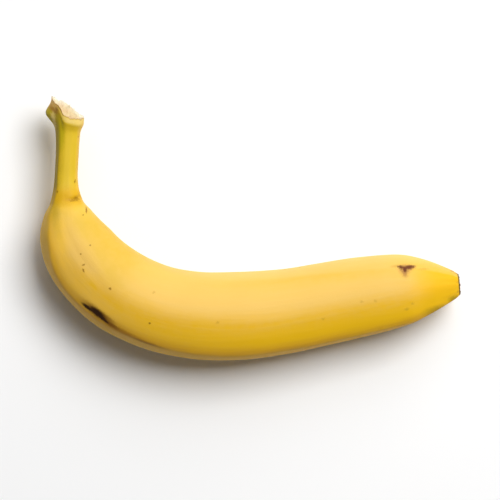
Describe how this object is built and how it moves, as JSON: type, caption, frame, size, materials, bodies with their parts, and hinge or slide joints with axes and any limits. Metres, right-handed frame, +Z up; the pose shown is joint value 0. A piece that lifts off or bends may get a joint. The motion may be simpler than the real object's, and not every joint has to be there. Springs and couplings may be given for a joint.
{
  "type": "whole banana",
  "caption": "Whole ripe banana with its peel on, lying on its side, with a slim stem, a torn crown end, soft ridges and a small dark flower end.",
  "frame": {"origin": "on the table, under the middle of the fruit's bounding box", "axes": "+X towards the flower end along the longest extent, +Y towards the stem's torn crown, +Z up, with the bend lying level"},
  "size_m": [0.1808, 0.1138, 0.0345],
  "materials": {
    "banana_skin": "waxy yellow peel, satin"
  },
  "bodies": {
    "root": {"banana": "banana_skin"}
  },
  "joints": []
}
